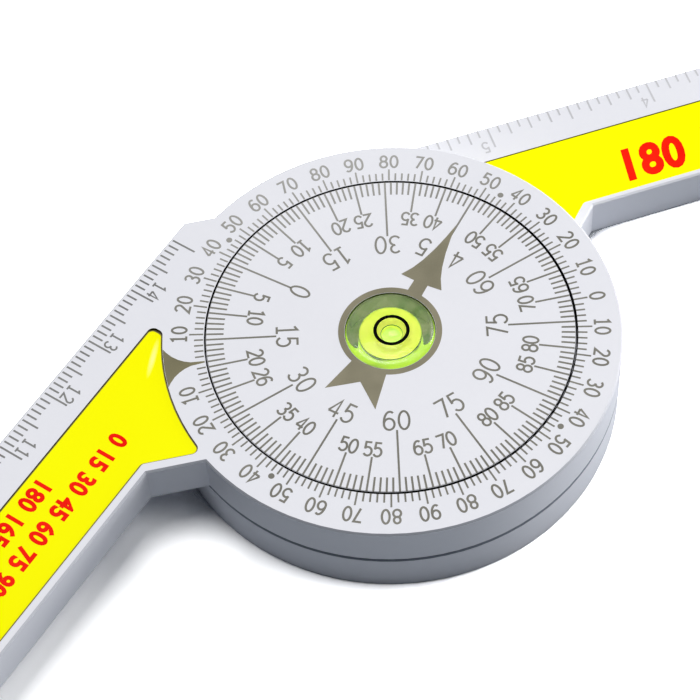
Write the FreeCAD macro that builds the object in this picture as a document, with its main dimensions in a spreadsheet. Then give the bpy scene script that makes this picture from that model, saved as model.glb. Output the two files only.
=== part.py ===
"""Mitre-saw protractor with a bull's-eye level: two arms lapped on one hub, in millimetres.

The origin is on the pivot axis at the underside, +Z is up, and +X points along the lower arm.
Each arm is drawn along its own +X axis. The upper arm is the lower one's mirror image, turned
by the opening angle.
"""

import FreeCAD, Part
import math
import os

import Sketcher

# Each driving size: name, value, what it is.
DRIVING_SIZES = [
    ("leaf_thickness", 6.9, "thickness of one arm and its disc"),
    ("leaf_gap", 0.2, "air between the lower and the upper leaf"),
    ("opening_angle", 218.7, "from the lower arm's direction to the upper arm's"),
    ("dial_radius", 25.5, "outer radius of the dial"),
    ("dial_seam", 0.25, "gap round the dial"),
    ("ring_width", 6.25, "ring's flat face, from the dial's seat to the outside"),
    ("ruler_offset", 3.0, "how far the ruler's edge stands outside the disc"),
    ("lower_ruler_setback", 0.8, "how much nearer the pivot the lower arm's ruler edge is"),
    ("arm_width", 19.6, "ruler's edge to the inner edge"),
    ("arm_length", 153.4, "pivot to the end of an arm, where the ruler has its zero"),
    ("ruler_edge_start", 0.0, "where the ruler's edge turns in to the disc"),
    ("shoulder_reach", 4.2, "how far outside the disc the inner edge flares"),
    ("tip_corner_cut", 8.0, "cut on the inner corner of the arm's end"),
    ("edge_chamfer", 0.25, "broken edge round the outlines"),
    ("top_skin", 2.2, "thickness over the cored pockets"),
    ("outer_wall", 2.0, "wall round the cored pockets"),
    ("rib_thickness", 1.2, "ribs between the cored pockets"),
    ("truss_gap", 1.0, "from the flare to the first pocket of the arm's truss"),
    ("truss_bays", 6, "full triangles in the truss"),
    ("gusset_land", 1.0, "blunt end of the gusset's pocket"),
    ("disc_pockets", 10, "pockets round each disc"),
    ("dial_overhang", 5.58, "how far the dial's rim reaches over the hub"),
    ("bearing_clearance", 0.08, "between the hub and the ring's bore"),
    ("hub_wall", 2.0, "wall of the hub's cup"),
    ("hub_floor", 2.2, "floor of the hub's cup"),
    ("dial_thickness", 2.0, "thickness of the dial's rim"),
    ("rim_chamfer", 0.1, "broken edge of the dial's rim"),
    ("ledge_depth", 2.8, "ring's top down to the ledge that the dial holds"),
    ("ring_outer_land", 1.85, "solid ring between the seat and the ring's pockets"),
    ("screw_count", 3, "screws that hold the dial"),
    ("screw_boss_radius", 3.4, "bosses and pillars round the screws"),
    ("pillar_length", 3.0, "pillars under the dial, which stand on the hub's bosses"),
    ("screw_shank_radius", 1.3, "radius of a screw's shank"),
    ("screw_grip", 2.9, "screw's length in the dial's pillar"),
    ("screw_head_radius", 2.7, "radius of a screw's head"),
    ("screw_head_height", 1.9, "height of a screw's head"),
    ("screw_head_chamfer", 0.8, "broken edge of a screw's head"),
    ("screw_seat_depth", 2.3, "underside up to where the screw head bears"),
    ("screw_slack", 0.3, "air round the screw in the hub"),
    ("screw_bite", 0.03, "air drawn round the screw in the dial's pillar"),
    ("cross_length", 3.0, "length of the cross in a screw's head"),
    ("cross_width", 0.7, "width of the cross in a screw's head"),
    ("cross_depth", 1.1, "depth of the cross in a screw's head"),
    ("washer_thickness", 0.3, "thickness of the wave washer"),
    ("washer_waves", 3, "waves round the wave washer"),
    ("washer_clearance", 0.02, "drawn between the washer and what it bears on"),
    ("washer_side_gap", 0.6, "between the wave washer and the walls beside it"),
    ("vial_radius", 6.2, "outer radius of the vial"),
    ("vial_height", 7.7, "height of the vial"),
    ("vial_proud", 0.3, "how far the vial stands out of the dial"),
    ("vial_slack", 0.1, "air round the vial in its collar"),
    ("vial_edge_chamfer", 0.45, "broken edge of the vial's top"),
    ("collar_wall", 1.6, "wall of the dial's collar round the vial"),
    ("collar_length", 4.8, "collar's length under the dial"),
    ("pedestal_inset", 0.6, "how far the hub's pedestal stays inside the vial's outline"),
    ("vial_wall", 1.8, "wall of the vial round its hollow"),
    ("lens_thickness", 1.3, "vial's top over the bubble"),
    ("lens_rise", 0.1, "how much the hollow's top domes"),
    ("plug_thickness", 1.4, "plug that closes the vial"),
    ("liquid_film", 0.03, "drawn between the liquid and its walls"),
    ("bubble_radius", 1.52, "radius of the bubble"),
    ("bubble_height", 1.1, "height of the bubble"),
    ("lower_ruler_band", 6.05, "lower arm's ruler edge to its label"),
    ("upper_ruler_band", 6.45, "upper arm's ruler edge to its label"),
    ("lower_label_border", 0.83, "lower arm left bare between its label and the inner edge"),
    ("upper_label_border", 1.18, "upper arm left bare between its label and the inner edge"),
    ("label_flare_border", 1.4, "arm left bare between the label and the flare"),
    ("label_disc_overlap", 0.5, "how far the label's round edge lies inside the disc's outline"),
    ("label_tip_width", 1.9, "blunt tip of the label beside the disc"),
    ("label_end_margin", 9.0, "arm left bare past the label's far end"),
    ("label_recess", 0.45, "depth of the label's recess"),
    ("label_thickness", 0.3, "thickness of the label"),
    ("label_gap", 0.1, "air round the label in its recess"),
    ("label_corner", 0.95, "corner radius of the label's recess"),
    ("label_flare_corner", 0.7, "radius of its inward corner, where the flare begins"),
]

# Sizes that follow from the driving ones: name, formula, what it is.
WORKED_OUT_SIZES = [
    ("upper_level", "=leaf_thickness + leaf_gap", "underside of the upper leaf"),
    ("ring_top", "=upper_level + leaf_thickness", "top of the ring and the dial"),
    ("dial_underside", "=ring_top - dial_thickness", "where the dial's rim and the hub meet"),
    ("ledge_top", "=ring_top - ledge_depth", "ledge inside the ring"),
    ("hub_radius", "=dial_radius - dial_overhang", "outside of the hub, the pivot's bearing"),
    ("ring_bore", "=hub_radius + bearing_clearance", "bore of the ring"),
    ("seat_radius", "=dial_radius + dial_seam", "seat round the dial's rim"),
    ("disc_radius", "=seat_radius + ring_width", "outer radius of both discs"),
    ("ruler_edge", "=disc_radius + ruler_offset", "pivot to the ruler's edge, across the arm"),
    ("lower_ruler_edge", "=ruler_edge - lower_ruler_setback", "the same on the lower arm"),
    ("inner_edge", "=ruler_edge - arm_width", "pivot to the inner edge, across the arm"),
    ("pocket_depth", "=leaf_thickness - top_skin", "depth of every cored pocket"),
    ("pocket_outer", "=disc_radius - outer_wall", "outer radius of the disc's pockets"),
    ("shoulder_start", "=disc_radius + shoulder_reach", "where the inner edge starts to flare"),
    ("shoulder_line", "=shoulder_start - inner_edge", "the flare is x - y equal to this"),
    ("lower_label_outer", "=lower_ruler_edge - lower_ruler_band", "label's edge by the ruler"),
    ("upper_label_outer", "=ruler_edge - upper_ruler_band", "the same on the upper arm"),
    ("lower_label_inner", "=inner_edge + lower_label_border", "label's edge by the inner edge"),
    ("upper_label_inner", "=inner_edge + upper_label_border", "the same on the upper arm"),
    ("label_arc", "=disc_radius - label_disc_overlap", "radius of the label's round edge"),
    ("label_line", "=shoulder_line - label_flare_border * sqrt(2)", "label's flare, as the arm's"),
    ("label_end", "=arm_length - label_end_margin", "label's far end"),
    ("truss_start", "=shoulder_start + truss_gap", "first point of the truss"),
    ("truss_end", "=arm_length - outer_wall", "last point of the truss"),
    ("truss_pitch", "=(truss_end - truss_start) / truss_bays", "one bay of the truss"),
    ("truss_low", "=inner_edge + outer_wall", "inner side of the truss"),
    ("truss_high", "=ruler_edge - outer_wall", "ruler's side of the truss"),
    ("truss_height", "=truss_high - truss_low", "truss across the arm"),
    ("truss_side", "=sqrt(truss_height^2 + (truss_pitch / 2)^2)", "a slanting rib's length"),
    ("rib_inset", "=rib_thickness / 2 * truss_side / truss_height", "pocket's corner from the bay"),
    ("apex_inset", "=rib_thickness * truss_side / truss_pitch", "pocket's apex from the side"),
    ("gusset_inner", "=disc_radius + outer_wall", "gusset's pockets, side by the disc"),
    ("gusset_end", "=truss_start - rib_thickness", "gusset's pockets, side by the truss"),
    ("gusset_line", "=shoulder_line - outer_wall * (sqrt(2) - 1)", "gusset's flare"),
    ("hub_cup_radius", "=hub_radius - hub_wall", "inside of the hub's cup"),
    ("collar_bore", "=vial_radius + vial_slack", "opening for the vial"),
    ("collar_radius", "=collar_bore + collar_wall", "outside of the dial's collar"),
    ("screw_circle", "=(collar_radius + hub_cup_radius) / 2", "pivot to a screw"),
    ("screw_boss_height", "=dial_underside - pillar_length", "top of the hub's bosses"),
    ("screw_shank_length", "=screw_boss_height + screw_grip - screw_seat_depth", "a shank"),
    ("vial_bottom", "=ring_top + vial_proud - vial_height", "where the vial stands"),
    ("pedestal_radius", "=vial_radius - pedestal_inset", "hub's pedestal under the vial"),
    ("liquid_radius", "=vial_radius - vial_wall", "radius of the vial's hollow"),
    ("hollow_apex", "=vial_height - lens_thickness", "top of the vial's hollow"),
]

# Which way across the arm its ruler lies.
LOWER_SIDE = 1
UPPER_SIDE = -1

# What the sizes of each side's own label begin with.
LABEL_NAMES = {LOWER_SIDE: "lower_label", UPPER_SIDE: "upper_label"}

# Two lengths this close are the same, in millimetres.
NEAR = 1e-4

# Flats that make one wave of the wave washer.
WASHER_POINTS_PER_WAVE = 8


def fill_sheet(document):
    """Writes every size into the sheet, each cell with its name as alias."""
    sheet = document.addObject("Spreadsheet::Sheet", "Sizes")
    for row, (name, entry, note) in enumerate(DRIVING_SIZES + WORKED_OUT_SIZES, start=1):
        sheet.set(f"A{row}", name)
        sheet.set(f"B{row}", str(entry))
        sheet.set(f"C{row}", note)
        sheet.setAlias(f"B{row}", name)
    document.recompute()
    return sheet


def in_sheet(formula):
    """The formula as objects outside the sheet write it, with the sheet's name before each size."""
    names = [name for name, _, _ in DRIVING_SIZES + WORKED_OUT_SIZES]
    words = []
    word = ""
    for letter in formula + " ":
        if letter.isalnum() or letter == "_":
            word += letter
            continue
        words.append("Sizes." + word if word in names else word)
        words.append(letter)
        word = ""
    return "".join(words).strip()


def size(sheet, formula):
    """The present value of a formula on the sheet's sizes."""
    return float(sheet.evalExpression(in_sheet(formula)))


def origin_plane(body, role):
    """One of a body's own origin planes."""
    return next(plane for plane in body.Origin.OriginFeatures if plane.Role == role)


def new_body(document, label, level="0", turn="0"):
    """A body at a height, turned about the pivot."""
    body = document.addObject("PartDesign::Body", label)
    body.Label = label
    body.setExpression("Placement.Base.z", in_sheet(level))
    body.setExpression("Placement.Rotation.Angle", in_sheet(turn))
    return body


def new_sketch(body, name, level="0", role="XY_Plane"):
    """An empty sketch on a plane of the body, raised to a level."""
    sketch = body.newObject("Sketcher::SketchObject", name)
    sketch.AttachmentSupport = (origin_plane(body, role), [""])
    sketch.MapMode = "FlatFace"
    sketch.setExpression("AttachmentOffset.Base.z", in_sheet(level))
    return sketch


def tie(sketch, kind, geometry, formula, present):
    """Adds a dimension to the sketch and binds it to the sheet."""
    index = sketch.addConstraint(Sketcher.Constraint(kind, *geometry, present))
    sketch.setExpression(f"Constraints[{index}]", in_sheet(formula))


def add_circle(sketch, sheet, radius, centre_x="0"):
    """A circle on the sketch's X axis."""
    x, r = size(sheet, centre_x), size(sheet, radius)
    circle = sketch.addGeometry(Part.Circle(FreeCAD.Vector(x, 0, 0), FreeCAD.Vector(0, 0, 1), r))
    tie(sketch, "Radius", (circle,), radius, r)
    if centre_x == "0":
        sketch.addConstraint(Sketcher.Constraint("Coincident", circle, 3, -1, 1))
    else:
        sketch.addConstraint(Sketcher.Constraint("PointOnObject", circle, 3, -1))
        tie(sketch, "DistanceX", (-1, 1, circle, 3), centre_x, x)


def add_outline(sketch, sheet, corners, arcs=None):
    """A closed outline. A corner is (x, y) or, at an arc's end, (x, y, the one coordinate tied).

    arcs names the edges, by their first corner, that are arcs about the origin, with the radius.
    """
    arcs = arcs or {}
    points = [FreeCAD.Vector(size(sheet, c[0]), size(sheet, c[1]), 0) for c in corners]
    up = FreeCAD.Vector(0, 0, 1)
    edges = []
    for number, start in enumerate(points):
        end = points[(number + 1) % len(points)]
        if number not in arcs:
            edges.append((sketch.addGeometry(Part.LineSegment(start, end)), 1, 2))
            continue
        radius = size(sheet, arcs[number])
        forward = start.cross(end).z > 0
        first, last = (start, end) if forward else (end, start)
        angles = [math.atan2(point.y, point.x) for point in (first, last)]
        arc = sketch.addGeometry(Part.ArcOfCircle(Part.Circle(FreeCAD.Vector(), up, radius), *angles))
        sketch.addConstraint(Sketcher.Constraint("Coincident", arc, 3, -1, 1))
        tie(sketch, "Radius", (arc,), arcs[number], radius)
        edges.append((arc, 1, 2) if forward else (arc, 2, 1))
    for number, (edge, first, _) in enumerate(edges):
        before, _, last = edges[number - 1]
        sketch.addConstraint(Sketcher.Constraint("Coincident", before, last, edge, first))
        ties = corners[number][2] if len(corners[number]) > 2 else "xy"
        if "x" in ties:
            tie(sketch, "DistanceX", (-1, 1, edge, first), corners[number][0], points[number].x)
        if "y" in ties:
            tie(sketch, "DistanceY", (-1, 1, edge, first), corners[number][1], points[number].y)


def pad(body, sketch, name, length):
    """Grows the sketch upwards."""
    feature = body.newObject("PartDesign::Pad", name)
    feature.Profile = sketch
    feature.setExpression("Length", in_sheet(length))
    return finished(body, feature, 1)


def cut(body, sketch, name, depth, upwards):
    """Cuts the sketch into the body, upwards or downwards."""
    feature = body.newObject("PartDesign::Pocket", name)
    feature.Profile = sketch
    feature.Reversed = upwards
    feature.setExpression("Length", in_sheet(depth))
    return finished(body, feature, -1)


def revolve(body, sketch, name, add=True):
    """Turns a half section about the vertical axis, to add or to remove."""
    feature = body.newObject("PartDesign::Revolution" if add else "PartDesign::Groove", name)
    feature.Profile = sketch
    feature.ReferenceAxis = (sketch, ["V_Axis"])
    feature.Angle = 360
    return finished(body, feature, 1 if add else -1)


def finished(body, feature, sign):
    """Recomputes a feature and makes sure that it adds or removes material as it should."""
    before = feature.BaseFeature.Shape.Volume if feature.BaseFeature else 0.0
    body.Document.recompute()
    change = feature.Shape.Volume - before
    if change * sign <= 0:
        raise RuntimeError(f"{body.Label}: {feature.Name} changes the volume by {change:.3f}")
    return feature


def repeat_round(body, features, name, count):
    """Repeats features evenly round the pivot."""
    pattern = body.newObject("PartDesign::PolarPattern", name)
    pattern.Originals = features
    pattern.Axis = (features[0].Profile[0], ["N_Axis"])
    pattern.Angle = 360
    pattern.setExpression("Occurrences", in_sheet(count))
    body.Tip = pattern
    body.Document.recompute()


def repeat_along(body, feature, name, count, pitch):
    """Repeats a feature along the arm."""
    pattern = body.newObject("PartDesign::LinearPattern", name)
    pattern.Originals = [feature]
    pattern.Direction = (feature.Profile[0], ["H_Axis"])
    pattern.Mode = "Spacing"
    pattern.setExpression("Offset", in_sheet(pitch))
    pattern.setExpression("Occurrences", in_sheet(count))
    body.Tip = pattern
    body.Document.recompute()


def flare_end(line, radius, side):
    """Where the flare, x - y equal to line, meets a circle about the pivot."""
    reach = f"sqrt(2 * {radius}^2 - {line}^2)"
    return f"({line} + {reach}) / 2", f"{side} * ({reach} - {line}) / 2"


def arm_outline(sketch, sheet, side, edge):
    """The arm from above, run on into the disc. The edge is how far out its ruler lies."""
    add_outline(
        sketch,
        sheet,
        [
            ("ruler_edge_start", f"{side} * {edge}"),
            (f"ruler_edge_start - {edge} + pocket_outer", f"{side} * pocket_outer"),
            ("0", f"{side} * hub_radius"),
            flare_end("shoulder_line", "pocket_outer", side),
            ("shoulder_start", f"{side} * inner_edge"),
            ("arm_length - tip_corner_cut", f"{side} * inner_edge"),
            ("arm_length", f"{side} * (inner_edge + tip_corner_cut)"),
            ("arm_length", f"{side} * {edge}"),
        ],
    )


def label_outline(sketch, sheet, side, gap):
    """The label from above: straight edges, a blunt tip and a round edge beside the disc."""
    outer, arc = f"({LABEL_NAMES[side]}_outer - {gap})", f"(label_arc + {gap})"
    inner, line = f"({LABEL_NAMES[side]}_inner + {gap})", f"(label_line - {gap} * (sqrt(2) - 1))"
    tip_x = f"(sqrt({arc}^2 - ({outer} - label_tip_width)^2))"
    corners = [
        (tip_x, f"{side} * {outer}"),
        (tip_x, f"{side} * ({outer} - label_tip_width)", "x"),
        (*flare_end(line, arc, side), "y"),
        (f"{line} + {inner}", f"{side} * {inner}"),
        (f"label_end - {gap}", f"{side} * {inner}"),
        (f"label_end - {gap}", f"{side} * {outer}"),
    ]
    add_outline(sketch, sheet, corners, {1: arc})


def round_corners(body, name, radius, height, level, flare, inward):
    """Rounds upright corners of a given height: the inward one at the flare, or all others."""
    feature = body.Tip
    chosen = []
    for number, edge in enumerate(feature.Shape.Edges, start=1):
        box = edge.BoundBox
        upright = box.XLength < NEAR and box.YLength < NEAR and abs(box.ZLength - height) < NEAR
        at_flare = math.hypot(box.XMin - flare[0], box.YMin - flare[1]) < NEAR
        if upright and at_flare == inward and abs(box.ZMax - level) < NEAR:
            chosen.append(f"Edge{number}")
    fillet = body.newObject("PartDesign::Fillet", name)
    fillet.Base = (feature, chosen)
    fillet.setExpression("Radius", in_sheet(radius))
    body.Document.recompute()


def break_outline(body, name, level, width="edge_chamfer"):
    """Chamfers the outer edge of the body's flat face at a level."""
    feature = body.Tip
    flat = [
        face
        for face in feature.Shape.Faces
        if face.BoundBox.ZLength < NEAR and abs(face.BoundBox.ZMin - level) < NEAR
    ]
    outline = max(flat, key=lambda face: face.BoundBox.DiagonalLength).OuterWire.Edges
    names = [
        f"Edge{number}"
        for number, edge in enumerate(feature.Shape.Edges, start=1)
        if any(edge.isSame(other) for other in outline)
    ]
    chamfer = body.newObject("PartDesign::Chamfer", name)
    chamfer.Base = (feature, names)
    chamfer.setExpression("Size", in_sheet(width))
    return finished(body, chamfer, -1)


def leaf_blank(body, sheet, side, edge):
    """The disc and the arm, one plate."""
    disc = new_sketch(body, "disc_sketch")
    add_circle(disc, sheet, "disc_radius")
    pad(body, disc, "disc", "leaf_thickness")
    arm = new_sketch(body, "arm_sketch")
    arm_outline(arm, sheet, side, edge)
    pad(body, arm, "arm", "leaf_thickness")


def core_disc(body, sheet, inner):
    """Pockets round the disc from below, between a land and the outer wall."""
    half_rib = "rib_thickness / 2"
    far_side = "360 / disc_pockets"

    def beside_first(radius):
        return f"sqrt(({radius})^2 - ({half_rib})^2)", half_rib

    def beside_second(radius):
        along = f"sqrt(({radius})^2 - ({half_rib})^2)"
        x = f"{along} * cos({far_side}) + {half_rib} * sin({far_side})"
        y = f"{along} * sin({far_side}) - {half_rib} * cos({far_side})"
        return x, y

    sketch = new_sketch(body, "disc_pocket_sketch")
    corners = [
        (*beside_first(inner), "y"),
        (*beside_first("pocket_outer"), "y"),
        (*beside_second("pocket_outer"), "x"),
        (*beside_second(inner), "x"),
    ]
    add_outline(sketch, sheet, corners, {1: "pocket_outer", 3: inner})
    pocket = cut(body, sketch, "disc_pocket", "pocket_depth", True)
    repeat_round(body, [pocket], "disc_pockets", "disc_pockets")


def core_arm(body, sheet, side):
    """Triangular pockets from below that leave a truss of ribs along the arm."""
    wide = new_sketch(body, "ruler_side_pocket_sketch")
    add_outline(
        wide,
        sheet,
        [
            ("truss_start + rib_inset", f"{side} * truss_high"),
            ("truss_start + truss_pitch / 2", f"{side} * (truss_low + apex_inset)"),
            ("truss_start + truss_pitch - rib_inset", f"{side} * truss_high"),
        ],
    )
    pocket = cut(body, wide, "ruler_side_pocket", "pocket_depth", True)
    repeat_along(body, pocket, "ruler_side_pockets", "truss_bays", "truss_pitch")
    narrow = new_sketch(body, "inner_side_pocket_sketch")
    add_outline(
        narrow,
        sheet,
        [
            ("truss_start + truss_pitch / 2 + rib_inset", f"{side} * truss_low"),
            ("truss_start + truss_pitch", f"{side} * (truss_high - apex_inset)"),
            ("truss_start + truss_pitch * 3 / 2 - rib_inset", f"{side} * truss_low"),
        ],
    )
    pocket = cut(body, narrow, "inner_side_pocket", "pocket_depth", True)
    repeat_along(body, pocket, "inner_side_pockets", "truss_bays - 1", "truss_pitch")


def core_gusset(body, sheet, side):
    """Two pockets between the disc and the truss, with a slanting rib between them."""
    first_x = "(gusset_inner / sqrt(2))"
    second_x = f"({first_x} + rib_thickness / sqrt(2))"

    def on_arc(x):
        return f"sqrt(gusset_inner^2 - {x}^2)"

    def rib_top(x):
        return f"{x} + truss_high - {on_arc(x)}", f"{side} * truss_high"

    sketch = new_sketch(body, "gusset_pocket_sketch")
    blunt_x = f"({on_arc('(truss_high - gusset_land)')})"
    beside_ruler = [
        (blunt_x, f"{side} * truss_high"),
        (blunt_x, f"{side} * {on_arc(blunt_x)}", "x"),
        (first_x, f"{side} * {on_arc(first_x)}", "x"),
        rib_top(first_x),
    ]
    beside_flare = [
        (second_x, f"{side} * {on_arc(second_x)}", "x"),
        (*flare_end("gusset_line", "gusset_inner", side), "y"),
        ("gusset_line + truss_low", f"{side} * truss_low"),
        ("gusset_end", f"{side} * truss_low"),
        ("gusset_end", f"{side} * truss_high"),
        rib_top(second_x),
    ]
    add_outline(sketch, sheet, beside_ruler, {1: "gusset_inner"})
    add_outline(sketch, sheet, beside_flare, {0: "gusset_inner"})
    cut(body, sketch, "gusset_pockets", "pocket_depth", True)


def sink_label(body, sheet, side):
    """The shallow recess for the label."""
    sketch = new_sketch(body, "label_recess_sketch", "leaf_thickness")
    label_outline(sketch, sheet, side, "0")
    cut(body, sketch, "label_recess", "label_recess", False)
    inner = f"{LABEL_NAMES[side]}_inner"
    flare = (size(sheet, f"label_line + {inner}"), side * size(sheet, inner))
    depth, top = size(sheet, "label_recess"), size(sheet, "leaf_thickness")
    round_corners(body, "label_recess_corners", "label_corner", depth, top, flare, False)
    round_corners(body, "label_recess_flare", "label_flare_corner", depth, top, flare, True)


def make_lower_arm(document, sheet):
    """The lower leaf: its disc carries the hub's cup, with the screw bosses and the pedestal."""
    side = LOWER_SIDE
    body = new_body(document, "lower_arm")
    leaf_blank(body, sheet, side, "lower_ruler_edge")
    hub = new_sketch(body, "hub_sketch")
    add_circle(hub, sheet, "hub_radius")
    pad(body, hub, "hub", "dial_underside")
    cup = new_sketch(body, "hub_cup_sketch", "dial_underside")
    add_circle(cup, sheet, "hub_cup_radius")
    cut(body, cup, "hub_cup", "dial_underside - hub_floor", False)
    pedestal = new_sketch(body, "pedestal_sketch")
    add_circle(pedestal, sheet, "pedestal_radius")
    pad(body, pedestal, "pedestal", "vial_bottom")
    boss = new_sketch(body, "screw_boss_sketch")
    add_circle(boss, sheet, "screw_boss_radius", "screw_circle")
    bosses = pad(body, boss, "screw_boss", "screw_boss_height")
    repeat_round(body, [bosses], "screw_bosses", "screw_count")
    hole = new_sketch(body, "screw_hole_sketch")
    add_circle(hole, sheet, "screw_shank_radius + screw_slack", "screw_circle")
    holes = cut(body, hole, "screw_hole", "screw_boss_height", True)
    repeat_round(body, [holes], "screw_holes", "screw_count")
    seat = new_sketch(body, "screw_seat_sketch")
    add_circle(seat, sheet, "screw_head_radius + screw_slack", "screw_circle")
    seats = cut(body, seat, "screw_seat", "screw_seat_depth", True)
    repeat_round(body, [seats], "screw_seats", "screw_count")
    core_disc(body, sheet, "hub_radius + rib_thickness")
    core_gusset(body, sheet, side)
    core_arm(body, sheet, side)
    sink_label(body, sheet, side)
    break_outline(body, "top_edge", size(sheet, "leaf_thickness"))
    break_outline(body, "bottom_edge", 0.0)
    return body


def make_upper_arm(document, sheet):
    """The upper leaf: its ring has the bore that turns on the hub and the ledge under the dial."""
    side = UPPER_SIDE
    body = new_body(document, "upper_arm", "upper_level", "opening_angle")
    leaf_blank(body, sheet, side, "ruler_edge")
    bore = new_sketch(body, "bore_sketch")
    add_circle(bore, sheet, "ring_bore")
    cut(body, bore, "bore", "leaf_thickness", True)
    seat = new_sketch(body, "dial_seat_sketch", "leaf_thickness")
    add_circle(seat, sheet, "seat_radius")
    cut(body, seat, "dial_seat", "ledge_depth", False)
    core_disc(body, sheet, "seat_radius + ring_outer_land")
    core_gusset(body, sheet, side)
    core_arm(body, sheet, side)
    sink_label(body, sheet, side)
    break_outline(body, "top_edge", size(sheet, "leaf_thickness"))
    break_outline(body, "bottom_edge", 0.0)
    return body


def make_label(document, sheet, name, level, turn, side):
    """A yellow label, a little smaller than its recess and a little below the arm's face."""
    body = new_body(document, name, f"{level} + leaf_thickness - label_recess", turn)
    sketch = new_sketch(body, "label_sketch")
    label_outline(sketch, sheet, side, "label_gap")
    pad(body, sketch, "label", "label_thickness")
    inner = size(sheet, f"{LABEL_NAMES[side]}_inner + label_gap")
    flare = (size(sheet, "label_line - label_gap * (sqrt(2) - 1)") + inner, side * inner)
    high = size(sheet, "label_thickness")
    round_corners(body, "label_corners", "label_corner - label_gap", high, high, flare, False)
    round_corners(body, "label_flare", "label_flare_corner + label_gap", high, high, flare, True)
    return body


def make_dial_plate(document, sheet):
    """The inner dial: a rim over the ledge, pillars for the screws and the vial's collar."""
    body = new_body(document, "dial_plate", "dial_underside")
    plate = new_sketch(body, "plate_sketch")
    add_circle(plate, sheet, "dial_radius")
    pad(body, plate, "plate", "dial_thickness")
    pillar = new_sketch(body, "pillar_sketch", "-pillar_length")
    add_circle(pillar, sheet, "screw_boss_radius", "screw_circle")
    pillars = pad(body, pillar, "pillar", "pillar_length")
    repeat_round(body, [pillars], "pillars", "screw_count")
    pilot = new_sketch(body, "pilot_sketch", "-pillar_length")
    add_circle(pilot, sheet, "screw_shank_radius + screw_bite", "screw_circle")
    pilots = cut(body, pilot, "pilot", "screw_grip + screw_slack", True)
    repeat_round(body, [pilots], "pilots", "screw_count")
    collar = new_sketch(body, "collar_sketch", "-collar_length")
    add_circle(collar, sheet, "collar_radius")
    pad(body, collar, "collar", "collar_length")
    opening = new_sketch(body, "vial_opening_sketch", "-collar_length")
    add_circle(opening, sheet, "collar_bore")
    cut(body, opening, "vial_opening", "collar_length + dial_thickness", True)
    break_outline(body, "rim_edge", size(sheet, "dial_thickness"), "rim_chamfer")
    return body


def break_edges(body, name, width, level):
    """Chamfers every level edge of the body that lies at one height."""
    feature = body.Tip
    names = [
        f"Edge{number}"
        for number, edge in enumerate(feature.Shape.Edges, start=1)
        if abs(edge.BoundBox.ZMax - level) < NEAR and edge.BoundBox.ZLength < NEAR
    ]
    chamfer = body.newObject("PartDesign::Chamfer", name)
    chamfer.Base = (feature, names)
    chamfer.setExpression("Size", in_sheet(width))
    body.Document.recompute()


def make_vial_body(document, sheet):
    """The clear vial, open below, with a domed hollow under its top."""
    body = new_body(document, "vial_body", "vial_bottom")
    outside = new_sketch(body, "vial_outside_sketch")
    add_circle(outside, sheet, "vial_radius")
    pad(body, outside, "vial_outside", "vial_height")
    hollow = new_sketch(body, "vial_hollow_sketch", role="XZ_Plane")
    hollow_section(hollow, sheet, "0", "0")
    revolve(body, hollow, "vial_hollow", add=False)
    break_edges(body, "vial_edge", "vial_edge_chamfer", size(sheet, "vial_height"))
    return body


def hollow_section(sketch, sheet, floor, film):
    """Half the section of the vial's hollow, with a domed top. The film keeps off its walls."""
    radius = f"(liquid_radius - {film})"
    shoulder = f"(hollow_apex - lens_rise - {film})"
    apex = f"(hollow_apex - {film})"
    corners = [("0", floor), (radius, floor), (radius, shoulder), ("0", apex)]
    points = [FreeCAD.Vector(size(sheet, x), size(sheet, y), 0) for x, y in corners]
    rise = size(sheet, "lens_rise")
    reach = points[2].x
    dome = (reach**2 + rise**2) / (2 * rise)
    up = FreeCAD.Vector(0, 0, 1)
    centre = FreeCAD.Vector(0, points[3].y - dome, 0)
    start = math.atan2(points[2].y - centre.y, reach)
    lines = [Part.LineSegment(points[3], points[0]), Part.LineSegment(points[0], points[1])]
    lines.append(Part.LineSegment(points[1], points[2]))
    axis, base, wall = (sketch.addGeometry(line) for line in lines)
    arc = sketch.addGeometry(Part.ArcOfCircle(Part.Circle(centre, up, dome), start, math.pi / 2))
    joints = [(axis, 2, base, 1), (base, 2, wall, 1), (wall, 2, arc, 1), (arc, 2, axis, 1)]
    for joint in joints:
        sketch.addConstraint(Sketcher.Constraint("Coincident", *joint))
    sketch.addConstraint(Sketcher.Constraint("PointOnObject", arc, 3, -2))
    sketch.addConstraint(Sketcher.Constraint("Vertical", axis))
    sketch.addConstraint(Sketcher.Constraint("PointOnObject", axis, 1, -2))
    sketch.addConstraint(Sketcher.Constraint("Horizontal", base))
    sketch.addConstraint(Sketcher.Constraint("Vertical", wall))
    tie(sketch, "DistanceX", (-1, 1, wall, 1), radius, points[1].x)
    tie(sketch, "DistanceY", (-1, 1, base, 1), floor, points[0].y)
    tie(sketch, "DistanceY", (-1, 1, wall, 2), shoulder, points[2].y)
    tie(sketch, "DistanceY", (-1, 1, axis, 1), apex, points[3].y)


def make_vial_liquid(document, sheet):
    """The liquid fills the hollow over the plug, and its bubble is cut from its top."""
    body = new_body(document, "vial_liquid", "vial_bottom")
    section = new_sketch(body, "liquid_sketch", role="XZ_Plane")
    hollow_section(section, sheet, "plug_thickness + liquid_film", "liquid_film")
    revolve(body, section, "liquid")
    bubble = new_sketch(body, "bubble_sketch", "hollow_apex - bubble_height")
    add_circle(bubble, sheet, "bubble_radius")
    cut(body, bubble, "bubble", "bubble_height", True)
    return body


def make_vial_plug(document, sheet):
    """The plug that closes the vial from below."""
    body = new_body(document, "vial_plug", "vial_bottom")
    sketch = new_sketch(body, "plug_sketch")
    add_circle(sketch, sheet, "liquid_radius - liquid_film")
    pad(body, sketch, "plug", "plug_thickness")
    return body


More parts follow.
